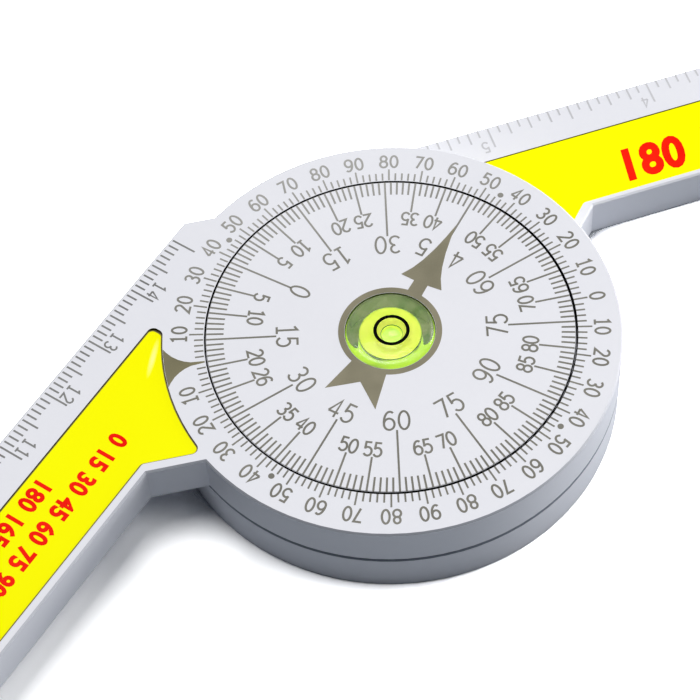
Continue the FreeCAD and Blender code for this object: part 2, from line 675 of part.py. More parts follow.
def make_wave_washer(document, sheet):
    """A strip that waves between the ledge and the dial's rim; its wave fills the space there."""
    inner = size(sheet, "ring_bore + washer_side_gap")
    outer = size(sheet, "dial_radius - washer_side_gap")
    thickness = size(sheet, "washer_thickness")
    low = size(sheet, "ledge_top + washer_clearance")
    high = size(sheet, "dial_underside - washer_clearance")
    waves = round(size(sheet, "washer_waves"))
    swing = (high - low - thickness) / 2
    points_round = WASHER_POINTS_PER_WAVE * waves
    rims = []
    for radius in (inner, outer):
        points = []
        for step in range(points_round + 1):
            turn = 2 * math.pi * step / points_round
            height = low + swing + swing * math.cos(waves * turn)
            points.append(FreeCAD.Vector(radius * math.cos(turn), radius * math.sin(turn), height))
        rims.append(Part.makePolygon(points))
    strip = Part.makeRuledSurface(rims[0], rims[1])
    links = strip.extrude(FreeCAD.Vector(0, 0, thickness)).Solids
    washer = document.addObject("Part::Feature", "wave_washer")
    washer.Label = "wave_washer"
    washer.Shape = links[0].fuse(links[1:])
    return washer


def make_dial_screws(document, sheet):
    """Pan-head screws in a ring, heads down in the hub's seats, shanks up in the pillars."""
    seat = size(sheet, "screw_seat_depth")
    up = FreeCAD.Vector(0, 0, 1)
    head_radius = size(sheet, "screw_head_radius")
    head_height = size(sheet, "screw_head_height")
    centre = FreeCAD.Vector(size(sheet, "screw_circle"), 0, 0)
    head = Part.makeCylinder(head_radius, head_height, centre + up * (seat - head_height), up)
    lower_rim = [edge for edge in head.Edges if edge.BoundBox.ZMax < seat - head_height + NEAR]
    head = head.makeChamfer(size(sheet, "screw_head_chamfer"), lower_rim)
    cross_length, cross_width, cross_depth = (
        size(sheet, name) for name in ("cross_length", "cross_width", "cross_depth")
    )
    for length, width in ((cross_length, cross_width), (cross_width, cross_length)):
        corner = centre + FreeCAD.Vector(-length / 2, -width / 2, seat - head_height)
        head = head.cut(Part.makeBox(length, width, cross_depth, corner))
    shank_radius = size(sheet, "screw_shank_radius")
    shank = Part.makeCylinder(shank_radius, size(sheet, "screw_shank_length"), centre + up * seat, up)
    screw = head.fuse(shank).removeSplitter()
    count = round(size(sheet, "screw_count"))
    copies = []
    for number in range(count):
        copy = screw.copy()
        copy.rotate(FreeCAD.Vector(), up, 360 * number / count)
        copies.append(copy)
    screws = document.addObject("Part::Feature", "dial_screws")
    screws.Label = "dial_screws"
    screws.Shape = Part.makeCompound(copies)
    return screws


def check_document(document, pieces):
    """Stops if any object failed or any piece isn't a sound solid."""
    for item in document.Objects:
        if "Invalid" in item.State or "Error" in item.State:
            raise RuntimeError(f"{item.Label} failed: {item.State}")
    for piece in pieces:
        shape = piece.Shape
        if shape.isNull() or not shape.isValid() or not shape.Solids:
            raise RuntimeError(f"{piece.Label} has no sound shape")


def main():
    document = FreeCAD.newDocument("protractor")
    sheet = fill_sheet(document)
    pieces = [
        make_lower_arm(document, sheet),
        make_upper_arm(document, sheet),
        make_dial_plate(document, sheet),
        make_dial_screws(document, sheet),
        make_wave_washer(document, sheet),
        make_vial_body(document, sheet),
        make_vial_liquid(document, sheet),
        make_vial_plug(document, sheet),
        make_label(document, sheet, "lower_arm_label", "0", "0", LOWER_SIDE),
        make_label(document, sheet, "upper_arm_label", "upper_level", "opening_angle", UPPER_SIDE),
    ]
    document.recompute()
    check_document(document, pieces)
    os.makedirs("parts", exist_ok=True)
    for piece in pieces:
        piece.Shape.exportStep(f"parts/{piece.Label}.step")
        box = piece.Shape.BoundBox
        print(
            f"{piece.Label}: {len(piece.Shape.Solids)} solid(s), {piece.Shape.Volume:.1f} mm3,"
            f" z {box.ZMin:.2f} to {box.ZMax:.2f}"
        )


main()
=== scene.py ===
"""The looks of the mitre protractor, in metres: finishes, prints, vial, light and camera."""
import math

import bmesh
import bpy
from mathutils import Matrix, Vector


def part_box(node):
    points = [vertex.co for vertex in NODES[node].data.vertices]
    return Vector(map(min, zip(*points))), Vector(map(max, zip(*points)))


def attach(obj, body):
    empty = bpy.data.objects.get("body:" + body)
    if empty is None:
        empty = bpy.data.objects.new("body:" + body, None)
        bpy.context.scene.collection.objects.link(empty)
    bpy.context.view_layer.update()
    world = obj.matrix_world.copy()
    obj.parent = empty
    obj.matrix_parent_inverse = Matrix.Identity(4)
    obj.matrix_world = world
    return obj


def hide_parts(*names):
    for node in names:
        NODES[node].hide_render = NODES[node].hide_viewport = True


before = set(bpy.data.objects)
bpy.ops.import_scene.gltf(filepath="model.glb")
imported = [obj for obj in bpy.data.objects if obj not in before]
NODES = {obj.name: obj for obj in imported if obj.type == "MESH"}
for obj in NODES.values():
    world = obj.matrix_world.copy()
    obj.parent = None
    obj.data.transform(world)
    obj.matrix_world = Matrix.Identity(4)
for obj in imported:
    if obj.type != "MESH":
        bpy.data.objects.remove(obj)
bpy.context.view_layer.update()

MM = 0.001

# The levels of the faces. A label lies this far below the face round it.
LABEL_SINK = 0.15 * MM
DIAL_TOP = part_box("dial_plate")[1].z
UPPER_LABEL_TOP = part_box("upper_arm_label")[1].z
LOWER_LABEL_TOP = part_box("lower_arm_label")[1].z
UPPER_FACE = UPPER_LABEL_TOP + LABEL_SINK
LOWER_FACE = LOWER_LABEL_TOP + LABEL_SINK
VIAL_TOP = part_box("vial_body")[1].z
VIAL_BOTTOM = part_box("vial_body")[0].z

# Directions of the arms from the pivot, of the printed zeros and of the dial's arrow, in degrees
# from +X.
LOWER_ARM_ANGLE = 0.0
UPPER_ARM_ANGLE = 218.7
RING_ZERO = -8.1
DIAL_ZERO = 133.9
ARROW_ANGLE = 44.2

# The ink stands this far out of a face and reaches as far into it.
INK_HEIGHT = 0.015 * MM

# Shapes that cross differ in height by this, so that no two faces coincide.
FILM_LIFT = 0.003 * MM

# Points closer than this are one.
SAME_PLACE = 1e-7

# The bubble and the target ring lie a little off the vial's centre.
BUBBLE_SHIFT = Vector((0.15, -0.17, 0)) * MM


# Materials


class Value:
    """A socket's output, with arithmetic that adds Math nodes."""

    def __init__(self, finish, socket):
        self.finish = finish
        self.socket = socket

    def math(self, operation, *others):
        inputs = dict(enumerate((self, *others)))
        return self.finish.node("ShaderNodeMath", {"operation": operation}, inputs)

    def __add__(self, other):
        return self.math("ADD", other)

    __radd__ = __add__

    def __mul__(self, other):
        return self.math("MULTIPLY", other)

    __rmul__ = __mul__


class Finish:
    """One material. node() adds a node with its settings, then its sockets' values or links."""

    def __init__(self, name):
        self.material = bpy.data.materials.new(name)
        self.material.use_nodes = True
        self.tree = self.material.node_tree
        self.tree.nodes.clear()

    def node(self, kind, settings=None, inputs=None, output=0):
        node = self.tree.nodes.new(kind)
        for name, setting in (settings or {}).items():
            if name == "stops":
                set_stops(node.color_ramp, setting)
            else:
                setattr(node, name, setting)
        for name, value in (inputs or {}).items():
            socket = node.inputs[name]
            if isinstance(value, Value):
                self.tree.links.new(value.socket, socket)
            else:
                socket.default_value = value
        return Value(self, node.outputs[output]) if node.outputs else None

    def place(self):
        """Object coordinates, in metres."""
        return self.node("ShaderNodeTexCoord", output="Object")

    def noise(self, feature, detail=2.0, roughness=0.5):
        """Noise from 0 to 1 with features of about this size, in metres."""
        inputs = {"Vector": self.place(), "Scale": 1.0 / feature}
        inputs.update({"Detail": detail, "Roughness": roughness})
        return self.node("ShaderNodeTexNoise", None, inputs)

    def ramp(self, factor, *stops):
        """A colour ramp, with its stops as (position, colour)."""
        return self.node("ShaderNodeValToRGB", {"stops": stops}, {"Fac": factor})

    def blend(self, factor, first, second):
        """The second colour over the first by the factor."""
        inputs = {0: factor, 6: first, 7: second}
        return self.node("ShaderNodeMix", {"data_type": "RGBA"}, inputs, output=2)

    def bump(self, height, distance, strength=1.0):
        """A normal from a height of 0 to 1 that stands for a distance."""
        inputs = {"Height": height, "Distance": distance, "Strength": strength}
        return self.node("ShaderNodeBump", None, inputs)

    def step(self, value, start, end):
        """A mask from 0 where a value is at the start to 1 at the end."""
        inputs = {0: value, 1: start, 2: end, 3: 0.0, 4: 1.0}
        return self.node("ShaderNodeMapRange", None, inputs)

    def length(self, vector):
        """A vector's length."""
        settings = {"operation": "LENGTH"}
        return self.node("ShaderNodeVectorMath", settings, {0: vector}, output="Value")

    def within(self, start, end, centre=(0.0, 0.0)):
        """A mask from 0 at one radius to 1 at another, about an upright axis."""
        inputs = {0: self.place(), 1: (1, 1, 0), 2: (-centre[0], -centre[1], 0)}
        flat = self.node("ShaderNodeVectorMath", {"operation": "MULTIPLY_ADD"}, inputs)
        return self.step(self.length(flat), start, end)

    def along(self, axis, start, end):
        """A mask from 0 at one place along an axis to 1 at another."""
        share = self.node("ShaderNodeSeparateXYZ", None, {0: self.place()}, output=axis)
        return self.step(share, start, end)

    def surface(self, shader):
        """Links a shader to the output, and gives the material."""
        self.node("ShaderNodeOutputMaterial", None, {"Surface": shader})
        return self.material

    def principled(self, inputs):
        """Ends the material with one Principled shader."""
        return self.surface(self.node("ShaderNodeBsdfPrincipled", None, inputs))


def set_stops(ramp, stops):
    """Gives a colour ramp its stops, as (position, colour)."""
    while len(ramp.elements) < len(stops):
        ramp.elements.new(1.0)
    for element, (position, colour) in zip(ramp.elements, stops):
        element.position = position
        element.color = colour


def rgb(red, green, blue):
    """A colour with full alpha."""
    return (red, green, blue, 1.0)


def moulded_plastic(name, dark, pale):
    """Satin plastic in the tones given, pale for the parts and dark for painted shade: clouded by
    a trace, with a spark-eroded grain and faint flow marks.
    """
    finish = Finish(name)
    cloud = finish.noise(28 * MM, detail=3.0)
    fleck = finish.noise(0.9 * MM, detail=2.0)
    grain = finish.noise(0.16 * MM, detail=1.0)
    ripple = finish.noise(7 * MM, detail=1.0)
    tone = cloud * 0.8 + fleck * 0.2
    return finish.principled(
        {
            "Base Color": finish.ramp(tone, (0.3, dark), (0.7, pale)),
            "Roughness": grain * 0.12 + cloud * 0.1 + 0.38,
            "IOR": 1.46,
            "Specular IOR Level": 0.4,
            "Normal": finish.bump(grain * 0.5 + ripple * 6.0, 0.004 * MM),
        }
    )


def shaded_edge(name, start, end, *stops):
    """Satin plastic of an edge, in the shade of the sides from the left to the right."""
    finish = Finish(name)
    grain = finish.noise(0.16 * MM, detail=1.0)
    drift = finish.noise(7 * MM, detail=2.0)
    tone = finish.along("X", start, end) * 0.94 + drift * 0.06
    return finish.principled(
        {
            "Base Color": finish.ramp(tone, *stops),
            "Roughness": grain * 0.12 + 0.45,
            "Specular IOR Level": 0.1,
            "Normal": finish.bump(grain, 0.003 * MM),
        }
    )


# A gloss streak on the upper label by its tip: its middle, half its size, its turn, and the
# share of its size inside which it is full.
STREAK_MIDDLE = (-32.2 * MM, 6.7 * MM, 0.0)
STREAK_SIZE = (0.5 * MM, 3.4 * MM, 1.0)
STREAK_TURN = math.radians(-28.4)
STREAK_CORE = 0.2


def label_film(name):
    """Matt yellow film with a very slight orange peel, rubbed glossy in one streak."""
    finish = Finish(name)
    cloud = finish.noise(20 * MM, detail=2.0)
    peel = finish.noise(1.6 * MM, detail=1.0)
    swell = finish.noise(14 * MM, detail=0.0)
    colours = ((0.3, rgb(1.0, 0.965, 0.0)), (0.7, rgb(1.0, 1.0, 0.001)))
    inputs = {"Location": STREAK_MIDDLE, "Rotation": (0, 0, STREAK_TURN), "Scale": STREAK_SIZE}
    inputs["Vector"] = finish.place()
    nearby = finish.node("ShaderNodeMapping", {"vector_type": "TEXTURE"}, inputs)
    streak = finish.step(finish.length(nearby), 1.0, STREAK_CORE)
    return finish.principled(
        {
            "Base Color": finish.ramp(cloud, *colours),
            "Roughness": peel * 0.08 + 0.4,
            "IOR": 1.45,
            "Specular IOR Level": 0.02,
            "Coat Weight": streak,
            "Coat IOR": 2.1,
            "Coat Roughness": 0.3,
            "Normal": finish.bump(peel * 0.15 + swell * 4.0, 0.02 * MM),
        }
    )


# Where worn print begins to fade across the dial, where it is palest, and its tone there.
WEAR_START = 10 * MM
WEAR_END = 32 * MM
WORN_TONE = rgb(0.62, 0.62, 0.62)


def printing_ink(name, dark, pale, roughness=0.55, gloss=0.3, wear=0.0):
    """Pad-printed ink, also laid as painted shade: a thin film whose tone drifts, finely mottled
    and worn at the far side.
    """
    finish = Finish(name)
    drift = finish.noise(6 * MM, detail=2.0)
    mottle = finish.noise(0.12 * MM, detail=2.0)
    fresh = finish.ramp(drift * 0.7 + mottle * 0.3, (0.32, dark), (0.68, pale))
    worn = finish.along("Y", WEAR_START, WEAR_END) * wear
    return finish.principled(
        {
            "Base Color": finish.blend(worn, fresh, WORN_TONE),
            "Roughness": mottle * 0.15 + roughness,
            "Specular IOR Level": gloss,
            "Normal": finish.bump(mottle, 0.003 * MM),
        }
    )


def rolled_steel(name, dark, pale, roughness):
    """Plated or rolled steel: fine streaks and a mottled gloss."""
    finish = Finish(name)
    streak = finish.noise(0.25 * MM, detail=3.0)
    stain = finish.noise(2.5 * MM, detail=2.0)
    return finish.principled(
        {
            "Base Color": finish.ramp(stain, (0.3, dark), (0.7, pale)),
            "Metallic": 1.0,
            "Roughness": streak * 0.2 + roughness,
            "Normal": finish.bump(streak, 0.004 * MM),
        }
    )


# The radii between which the vial's flat top turns to its soft rim.
VIAL_RIM = (5.1 * MM, 5.5 * MM)


def clear_acrylic(name):
    """The vial's clear body, tinted by a trace of green, with polishing marks and a soft rim."""
    finish = Finish(name)
    marks = finish.noise(1.2 * MM, detail=2.0)
    rim = finish.within(*VIAL_RIM)
    tints = ((0.3, rgb(0.9, 0.98, 0.84)), (0.7, rgb(0.93, 1.0, 0.88)))
    return finish.principled(
        {
            "Base Color": finish.ramp(marks, *tints),
            "Roughness": marks * 0.03 + 0.01,
            "IOR": 1.49,
            "Specular Tint": rgb(0.1, 0.1, 0.1),
            "Transmission Weight": 1.0,
            "Coat Weight": rim * 0.8,
            "Coat IOR": 1.5,
            "Coat Roughness": 0.28,
        }
    )


# Where the fluid's tone turns: from its top to its side and under the bubble, as radii, and
# where painted shade lies high on its side, as heights and as places across the dial; and how
# strongly it glows as painted light.
FLUID_SIDE = (4.2 * MM, 4.28 * MM)
UNDER_BUBBLE = (1.5 * MM, 1.2 * MM)
SHADE_HEIGHT = (11.5 * MM, 12.2 * MM)
SHADE_ACROSS = (-4.15 * MM, -3.3 * MM)
PAINTED_GLOW = 0.45


def level_fluid(name):
    """The dyed fluid, which glows as painted light, most on its side: paler under the bubble,
    and in painted shade high on its side but on its side nearest the viewer.
    """
    finish = Finish(name)
    swirl = finish.noise(2.2 * MM, detail=2.0)
    dye = finish.ramp(swirl, (0.3, rgb(0.82, 1.0, 0.11)), (0.7, rgb(0.95, 1.0, 0.15)))
    pale = finish.ramp(swirl, (0.3, rgb(0.62, 0.86, 0.17)), (0.7, rgb(0.72, 0.92, 0.25)))
    painted_shade = finish.ramp(swirl, (0.3, rgb(0.2, 0.28, 0.13)), (0.7, rgb(0.34, 0.42, 0.26)))
    deep = finish.ramp(swirl, (0.3, rgb(0.55, 1.0, 0.01)), (0.7, rgb(0.68, 1.0, 0.03)))
    side = finish.within(*FLUID_SIDE)
    high = finish.along("Z", *SHADE_HEIGHT) * finish.along("Y", *SHADE_ACROSS)
    bright = finish.blend(swirl, rgb(0.9, 1.6, 0.1), rgb(1.25, 1.75, 0.22))
    level = finish.blend(finish.within(*UNDER_BUBBLE, BUBBLE_SHIFT), dye, pale)
    tint = finish.blend(side * high, finish.blend(side, level, deep), painted_shade)
    glow = finish.blend(side * high, finish.blend(side, level, bright), painted_shade)
    return finish.principled(
        {
            "Base Color": tint,
            "Roughness": swirl * 0.08 + 0.08,
            "IOR": 1.36,
            "Emission Color": glow,
            "Emission Strength": PAINTED_GLOW,
        }
    )


def edge_line(name, faint, dark):
    """A dark line of painted shade where an edge shows through the shell, faint at one place
    across the dial and dark at another.
    """
    finish = Finish(name)
    depth = finish.along("Y", faint, dark) * 0.9
    ripple = finish.noise(0.5 * MM, detail=1.0)
    stops = ((0.3, rgb(0.8, 0.98, 0.14)), (0.75, rgb(0.16, 0.33, 0.05)))
    tint = finish.ramp(ripple * 0.1 + depth, *stops)
    return finish.principled({"Base Color": tint, "Roughness": ripple * 0.1 + 0.3})


def plug_plastic(name, dark, pale, glow):
    """Translucent plastic under the fluid, which takes its dye's colour and glows as painted
    light.
    """
    finish = Finish(name)
    cloud = finish.noise(1.5 * MM, detail=2.0)
    tint = finish.ramp(cloud, (0.3, dark), (0.7, pale))
    return finish.principled(
        {
            "Base Color": tint,
            "Roughness": cloud * 0.1 + 0.3,
            "Emission Color": tint,
            "Emission Strength": glow,
        }
    )


BODY = moulded_plastic("body_plastic_satin", rgb(0.745, 0.752, 0.805), rgb(0.785, 0.79, 0.838))
DIAL = moulded_plastic("dial_plastic_satin", rgb(0.755, 0.76, 0.81), rgb(0.79, 0.795, 0.842))
LABEL = label_film("label_yellow_film")
OLIVE_INK = printing_ink("ink_olive_print", rgb(0.185, 0.17, 0.11), rgb(0.275, 0.25, 0.17))
POINTER_INK = printing_ink("ink_pointer_print", rgb(0.15, 0.136, 0.072), rgb(0.222, 0.2, 0.11))
# Painted shade: a dark line along the upper label's edge.
OUTLINE_SHADE = printing_ink("outline_painted_shade", rgb(0.17, 0.14, 0.02), rgb(0.25, 0.21, 0.03))
SCALE_INK = printing_ink(
    "ink_scale_print", rgb(0.158, 0.153, 0.128), rgb(0.225, 0.217, 0.187), wear=0.45
)
RULER_INK = printing_ink("ink_ruler_print", rgb(0.16, 0.16, 0.158), rgb(0.235, 0.235, 0.228))
FAINT_INK = printing_ink("ink_faint_print", rgb(0.5, 0.5, 0.53), rgb(0.6, 0.6, 0.63))
# Black ink for the vial's target, which also paints the shade along the dial's seam.
BLACK_INK_AND_SHADE = printing_ink(
    "black_ink_and_painted_shade", rgb(0.001, 0.001, 0.001), rgb(0.003, 0.004, 0.003), 0.5, 0.01
)
RED_INK = printing_ink("ink_red_print", rgb(0.88, 0.006, 0.001), rgb(1.0, 0.018, 0.004), 0.4, 0.03)
SCREW_STEEL = rolled_steel("screw_zinc_steel", rgb(0.5, 0.5, 0.52), rgb(0.66, 0.66, 0.68), 0.25)
SPRING_STEEL = rolled_steel(
    "washer_spring_steel", rgb(0.38, 0.38, 0.4), rgb(0.52, 0.52, 0.55), 0.3
)
ACRYLIC = clear_acrylic("vial_clear_acrylic")
FLUID = level_fluid("vial_level_fluid")
# The plug and the seal under the shell glow as painted light.
PLUG = plug_plastic("vial_plug_plastic", rgb(0.62, 0.8, 0.1), rgb(0.72, 0.88, 0.16), 0.1)
BUBBLE_RIM = edge_line("vial_bubble_rim", -1.5 * MM, 1.5 * MM)
SHOULDER_RIM = edge_line("vial_shoulder_rim", 0.0, -4.3 * MM)
SEAL = plug_plastic("vial_seal_plastic", rgb(0.12, 0.19, 0.08), rgb(0.3, 0.31, 0.2), 0.7)

# Walls and edges that lie in shade, with their tones from the left to the right.
SEAM = moulded_plastic("seam_plastic_shaded", rgb(0.012, 0.012, 0.013), rgb(0.022, 0.022, 0.024))
SHADED = rgb(0.35, 0.365, 0.41)
EDGE_STOPS = (
    (0.0, rgb(0.56, 0.57, 0.62)),
    (0.2, SHADED),
    (0.72, SHADED),
    (1.0, rgb(0.78, 0.785, 0.835)),
)
EDGE = shaded_edge("edge_plastic_shaded", -45 * MM, 28 * MM, *EDGE_STOPS)
LINE_STOPS = (
    (0.0, rgb(0.4, 0.42, 0.46)),
    (0.25, rgb(0.24, 0.26, 0.31)),
    (0.8, rgb(0.27, 0.29, 0.34)),
    (1.0, rgb(0.55, 0.57, 0.6)),
)
LEAF_SEAM = shaded_edge("seam_plastic_line", -28 * MM, 31 * MM, *LINE_STOPS)
# Painted shade on the walls of the vial's seat in the dial.
VIAL_SEAT_SHADE = moulded_plastic("seat_plastic_shaded", rgb(0.035, 0.042, 0.012), rgb(0.06, 0.07, 0.02))
UPPER_RECESS = moulded_plastic(
    "recess_plastic_dark", rgb(0.05, 0.042, 0.012), rgb(0.08, 0.07, 0.02)
)
LOWER_RECESS = moulded_plastic(
    "recess_plastic_olive", rgb(0.19, 0.16, 0.05), rgb(0.25, 0.21, 0.07)
)

NODE_FINISHES = {
    "lower_arm": BODY,
    "upper_arm": BODY,
    "dial_plate": DIAL,
    "dial_screws": SCREW_STEEL,
    "wave_washer": SPRING_STEEL,
    "vial_body": ACRYLIC,
    "vial_liquid": FLUID,
    "vial_plug": PLUG,
    "lower_arm_label": LABEL,
    "upper_arm_label": LABEL,
}


# Making pieces

# The radii of the dial's seam, of the vial's seat in the dial and of the discs' edges, and how far
# from them the middle of a face may lie.
SEAM_RADIUS = 25.6 * MM
SEAT_RADIUS = 6.25 * MM
DISC_RADIUS = 31.85 * MM
SEAM_REACH = 0.3 * MM

# A face is upright or level where its normal rises by less or more than these.
UPRIGHT = 0.1
FLAT = 0.9

# A face whose normal points further along +Y than this is turned away from the viewer.
TURNED_AWAY = 0.1


def finish_node(name, material):
    """Gives a part from the frame its finish."""
    mesh = NODES[name].data
    mesh.materials.clear()
    mesh.materials.append(material)


def is_square(face):
    """Whether a face is upright or level."""
    return not UPRIGHT < abs(face.normal.z) < FLAT


def is_near_edge(face):
    """Whether a face is a sloped edge on the outside, on the viewer's side."""
    outside = face.center.xy.length > DISC_RADIUS - SEAM_REACH
    return not is_square(face) and face.normal.y < TURNED_AWAY and outside


def is_at(face, radius):
    """Whether a face lies close to a radius about the pivot."""
    return abs(face.center.xy.length - radius) < SEAM_REACH


def is_seam_wall(face):
    """Whether a face is a wall of the dial's seam."""
    return is_square(face) and is_at(face, SEAM_RADIUS)


def is_seat_wall(face):
    """Whether a face is a wall of the vial's seat."""
    return is_square(face) and is_at(face, SEAT_RADIUS)


def is_leaf_seam(face):
    """Whether a face is the near edge of a disc."""
    return is_near_edge(face) and is_at(face, DISC_RADIUS)


def shade_faces(name, low, high, material, fits=is_square):
    """Gives the fitting faces between two levels, by their middles, a finish of painted shade."""
    mesh = NODES[name].data
    mesh.materials.append(material)
    for face in mesh.polygons:
        if low < face.center.z < high and fits(face):
            face.material_index = len(mesh.materials) - 1


def add_piece(name, mesh, material, body):
    """Links a mesh as a piece that rides on a body."""
    mesh.materials.clear()
    mesh.materials.append(material)
    piece = bpy.data.objects.new(name, mesh)
    bpy.context.scene.collection.objects.link(piece)
    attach(piece, body)
    return piece


def from_bmesh(name, bm):
    """Turns a bmesh into a mesh of the same name."""
    mesh = bpy.data.meshes.new(name)
    bm.to_mesh(mesh)
    bm.free()
    return mesh


def turned(degrees):
    """A turn about the pivot."""
    return Matrix.Rotation(math.radians(degrees), 4, "Z")


def add_bar(bm, place, length, width, level):
    """One printed line: a flat bar along the place's X axis, centred on it."""
    shape = Matrix.Diagonal((length, width, 2 * INK_HEIGHT, 1))
    bmesh.ops.create_cube(bm, size=1, matrix=Matrix.Translation((0, 0, level)) @ place @ shape)


def add_radial_line(bm, degrees, inner, outer, width, level):
    """One printed line along a radius, with its ends' radii in millimetres."""
    place = turned(degrees) @ Matrix.Translation(((inner + outer) / 2 * MM, 0, 0))
    add_bar(bm, place, (outer - inner) * MM, width * MM, level)


def bow(x, y, wide, high, start, end, steps=16):
    """Points along part of an oval, from one angle to another in degrees."""
    angles = [math.radians(start + (end - start) * step / steps) for step in range(steps + 1)]
    return [(x + wide * math.cos(angle), y + high * math.sin(angle)) for angle in angles]


def oval(x, y, wide, high):
    """Points round an oval, closed by its first point."""
    return bow(x, y, wide, high, 90, 450, 28)


# Each digit's strokes, 1 high and about 0.5 wide, centred on X = 0.
DIGITS = {
    "0": [oval(0, 0.5, 0.25, 0.5)],
    "1": [[(-0.17, 0.86), (0.03, 1), (0.03, 0)], [(-0.17, 0), (0.23, 0)]],
    "2": [bow(0, 0.74, 0.24, 0.26, 165, -28) + [(-0.25, 0), (0.26, 0)]],
    "3": [bow(-0.02, 0.765, 0.22, 0.235, 150, -90), bow(-0.01, 0.265, 0.25, 0.265, 90, -150)],
    "4": [[(0.12, 0), (0.12, 1), (-0.26, 0.27)], [(-0.26, 0.27), (0.26, 0.27)]],
    "5": [[(0.2, 1), (-0.17, 1), (-0.2, 0.5)], bow(-0.02, 0.32, 0.26, 0.32, 140, -150)],
    "6": [oval(0, 0.31, 0.25, 0.31), bow(0.05, 0.36, 0.3, 0.64, 60, 178)],
    "7": [[(-0.25, 1), (0.25, 1), (-0.08, 0)]],
    "8": [oval(0, 0.76, 0.21, 0.24), oval(0, 0.27, 0.25, 0.27)],
    "9": [oval(0, 0.69, 0.25, 0.31), bow(-0.05, 0.64, 0.3, 0.64, 240, 358)],
}


def number_strokes(number, place, height, stroke, advance):
    """A number's strokes, centred on a place whose +Y is up, as lists of points."""
    tall = height - stroke
    strokes = []
    for index, digit in enumerate(number):
        middle = (index - (len(number) - 1) / 2) * advance
        for line in DIGITS[digit]:
            points = [Vector((middle + x * tall, (y - 0.5) * tall, 0)) for x, y in line]
            strokes.append([(place @ point).to_2d() for point in points])
    return strokes


# A corner's point is drawn out no further than half the stroke divided by this.
BLUNTEST = 0.42


def lay_stroke(bm, points, width, height):
    """One stroke as a flat ribbon with mitred corners, closed if its last point is its first."""
    closed = (points[0] - points[-1]).length < SAME_PLACE
    if closed:
        points = points[:-1]
    sides = []
    for index, point in enumerate(points):
        before = points[index - 1] if closed or index else 2 * point - points[1]
        after = points[(index + 1) % len(points)]
        if not closed and index == len(points) - 1:
            after = 2 * point - points[index - 1]
        arriving = (point - before).normalized()
        along = (arriving + (after - point).normalized()).normalized()
        reach = width / 2 / max(arriving.dot(along), BLUNTEST)
        side = Vector((-along.y, along.x)) * reach
        sides.append([bm.verts.new((*(point + side * sign), height)) for sign in (1, -1)])
    joints = list(zip(sides, sides[1:]))
    if closed:
        joints.append((sides[-1], sides[0]))
    for (left, right), (next_left, next_right) in joints:
        bm.faces.new((right, next_right, next_left, left))


def strokes_mesh(name, strokes, width, level):
    """A mesh of flat strokes of one width that stand a film's height out of a face."""
    bm = bmesh.new()
    for number, points in enumerate(strokes):
        lay_stroke(bm, points, width, number % 2 * FILM_LIFT)
    return thickened(name, bm, level)


def thickened(name, bm, level):
    """Flat faces at height 0 made a film that stands out of a face."""
    raised = bmesh.ops.extrude_face_region(bm, geom=bm.faces)["geom"]
    verts = [item for item in raised if isinstance(item, bmesh.types.BMVert)]
    bmesh.ops.translate(bm, vec=(0, 0, 2 * INK_HEIGHT), verts=verts)
    bmesh.ops.translate(bm, vec=(0, 0, level - INK_HEIGHT), verts=bm.verts)
    return from_bmesh(name, bm)


def print_outline(name, node, width, level, body):
    """A dark line of painted shade along the edge of a label's top face."""
    bm = bmesh.new()
    bm.from_mesh(NODES[node].data)
    below = [face for face in bm.faces if face.normal.z < FLAT]
    bmesh.ops.delete(bm, geom=below, context="FACES")
    bmesh.ops.remove_doubles(bm, verts=bm.verts, dist=SAME_PLACE)
    inner = list(bm.faces)
    bmesh.ops.inset_region(
        bm, faces=inner, thickness=width, use_even_offset=True, use_boundary=True
    )
    bmesh.ops.delete(bm, geom=inner, context="FACES")
    bmesh.ops.translate(bm, vec=(0, 0, -level), verts=bm.verts)
    add_piece(name, thickened(name, bm, level), OUTLINE_SHADE, body)


def flattened(name, curve, half_height, level):
    """A curve or text made a mesh, pressed to the ink's height and laid on a face."""
    holder = bpy.data.objects.new(name, curve)
    bpy.context.scene.collection.objects.link(holder)
    bpy.context.view_layer.update()
    graph = bpy.context.evaluated_depsgraph_get()
    mesh = bpy.data.meshes.new_from_object(holder.evaluated_get(graph))
    bpy.data.objects.remove(holder)
    mesh.name = name
    press = Matrix.Diagonal((1, 1, INK_HEIGHT / half_height, 1))
    mesh.transform(Matrix.Translation((0, 0, level)) @ press)
    return mesh


# The bold figures' extra weight and depth in the font's units, the spread of their spacing, and
# how much narrower they are.
BOLDNESS = 0.042
FIGURE_DEPTH = 0.2
FIGURE_SPACING = 1.08
NARROWING = 0.86


def bold_figures(name, figures, place, height, slant, level):
    """A line of bold figures that starts at a place, as high as given and a little narrow."""
    curve = bpy.data.curves.new(name, "FONT")
    curve.body = figures
    curve.offset = BOLDNESS
    curve.extrude = FIGURE_DEPTH / 2
    curve.resolution_u = 4
    curve.space_character = FIGURE_SPACING
    curve.shear = slant
    mesh = flattened(name, curve, FIGURE_DEPTH / 2, level)
    low = min(vertex.co.y for vertex in mesh.vertices)
    tall = max(vertex.co.y for vertex in mesh.vertices) - low
    scale = height / tall
    mesh.transform(place @ Matrix.Diagonal((scale * NARROWING, scale, 1, 1)))
    return mesh


# Half a flat shape's depth before it is pressed to the ink's height.
SHAPE_DEPTH = 1 * MM


def filled_shape(name, outline, level):
    """A flat printed shape from the points of its outline."""
    curve = bpy.data.curves.new(name, "CURVE")
    curve.dimensions = "2D"
    curve.fill_mode = "BOTH"
    curve.extrude = SHAPE_DEPTH
    spline = curve.splines.new("POLY")
    spline.points.add(len(outline) - 1)
    for spline_point, (x, y) in zip(spline.points, outline):
        spline_point.co = (x, y, 0, 1)
    spline.use_cyclic_u = True
    return flattened(name, curve, SHAPE_DEPTH, level)


